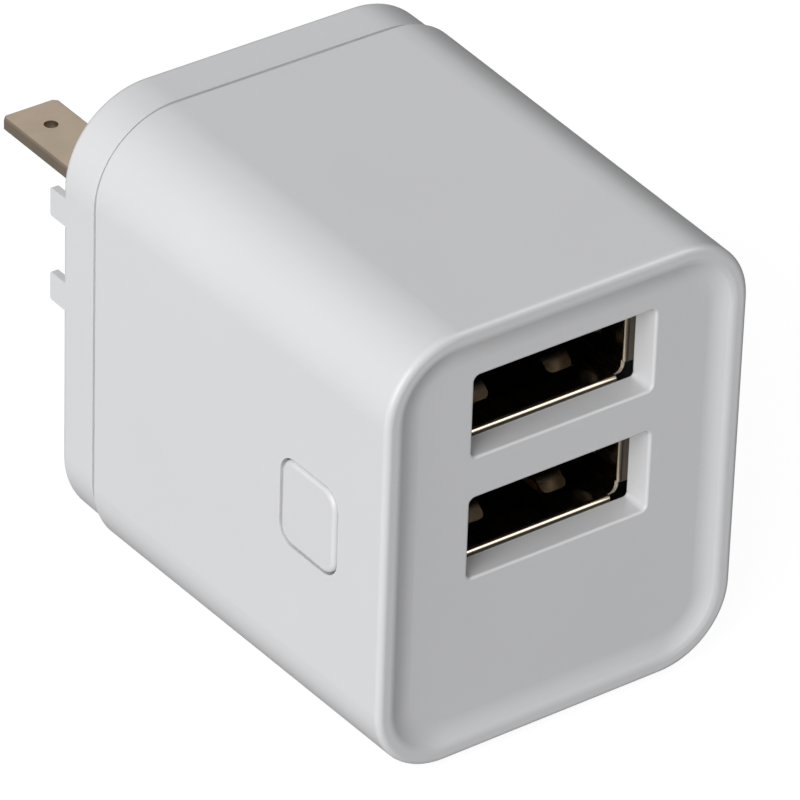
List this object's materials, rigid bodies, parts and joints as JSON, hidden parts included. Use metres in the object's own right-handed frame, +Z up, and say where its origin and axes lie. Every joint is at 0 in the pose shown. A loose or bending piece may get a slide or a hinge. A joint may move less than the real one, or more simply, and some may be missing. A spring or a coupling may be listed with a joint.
{
  "type": "usb wall charger",
  "caption": "Small block-shaped mains charger with stacked USB-A sockets in a dished front, a side push button and flat mains blades that fold into the plug plate.",
  "frame": {"origin": "centre of the plug plate's wall-facing face, between the plate's edges", "axes": "+X to the right as seen from the USB sockets, +Z up, +Y towards the wall socket"},
  "size_m": [0.0294, 0.0513, 0.0338],
  "materials": {
    "shell_plastic": "satin white moulded shell",
    "plate_plastic": "satin white moulded plate",
    "button_plastic": "satin white moulded button",
    "inner_plastic": "plain white moulding",
    "rotor_plastic": "satin white moulded rotor",
    "nickel_blade": "satin nickel-plated brass",
    "spring_brass": "rolled spring brass",
    "can_steel": "nickel-plated steel sheet",
    "socket_black": "black moulded insert",
    "contact_gold": "gold-flashed contact",
    "board_green": "green solder-masked board",
    "switch_black": "black stem",
    "switch_body": "black switch body",
    "ferrite": "grey-black ferrite",
    "winding_tape": "yellow insulating tape",
    "capacitor_sleeve": "dark shrink sleeve",
    "copper_wire": "enamelled copper",
    "disc_blue": "blue dipped coating",
    "chip_black": "black moulded package",
    "resistor_body": "flame-proof coating",
    "ceramic_tan": "ceramic chip"
  },
  "bodies": {
    "charger": {"housing_shell": "shell_plastic", "plug_plate": "plate_plastic", "upper_bearing_cap": "inner_plastic", "lower_bearing_cap": "inner_plastic", "upper_contact_spring": "spring_brass", "lower_contact_spring": "spring_brass", "upper_usb_can": "can_steel", "lower_usb_can": "can_steel", "upper_usb_tongue": "socket_black", "lower_usb_tongue": "socket_black", "upper_usb_contacts": "contact_gold", "lower_usb_contacts": "contact_gold", "usb_board": "board_green", "main_board": "board_green", "switch_board": "board_green", "switch_base": "switch_body", "switch_dome": "can_steel", "transformer_core": "ferrite", "transformer_bobbin": "socket_black", "transformer_winding": "winding_tape", "insulation_sheet": "winding_tape", "input_capacitor_left": "capacitor_sleeve", "input_capacitor_right": "capacitor_sleeve", "output_capacitor": "capacitor_sleeve", "choke_core": "ferrite", "choke_winding": "copper_wire", "varistor": "disc_blue", "y_capacitor": "disc_blue", "optocoupler": "chip_black", "fuse_resistor": "resistor_body", "bridge_rectifier": "chip_black", "charge_controller": "chip_black", "output_rectifier": "chip_black", "chip_resistors": "chip_black", "chip_capacitors": "ceramic_tan", "rectifier_diodes": "chip_black", "power_switch": "chip_black"},
    "button": {"button_cap": "button_plastic"},
    "switch_stem": {"switch_plunger": "switch_black"},
    "upper_prong": {"upper_blade": "nickel_blade", "upper_rotor": "rotor_plastic"},
    "lower_prong": {"lower_blade": "nickel_blade", "lower_rotor": "rotor_plastic"}
  },
  "joints": [
    {"name": "button_press", "type": "slide", "parent": "charger", "child": "button", "axis": [1, 0, 0], "range_m": [0, 0.0004], "stiffness_N_per_m": 2500, "springref_m": -0.0001},
    {"name": "stem_press", "type": "slide", "parent": "charger", "child": "switch_stem", "axis": [1, 0, 0], "range_m": [0, 0.0004]},
    {"name": "upper_prong_fold", "type": "hinge", "parent": "charger", "child": "upper_prong", "pos_m": [-0.00688, -0.003, 0.00553], "axis": [0, 0, 1], "range_deg": [-90, 0]},
    {"name": "lower_prong_fold", "type": "hinge", "parent": "charger", "child": "lower_prong", "pos_m": [-0.00688, -0.003, -0.00717], "axis": [0, 0, 1], "range_deg": [0, 90]}
  ],
  "couplings": [
    {"joint": "stem_press", "follows": "button_press", "ratio": 1}
  ]
}
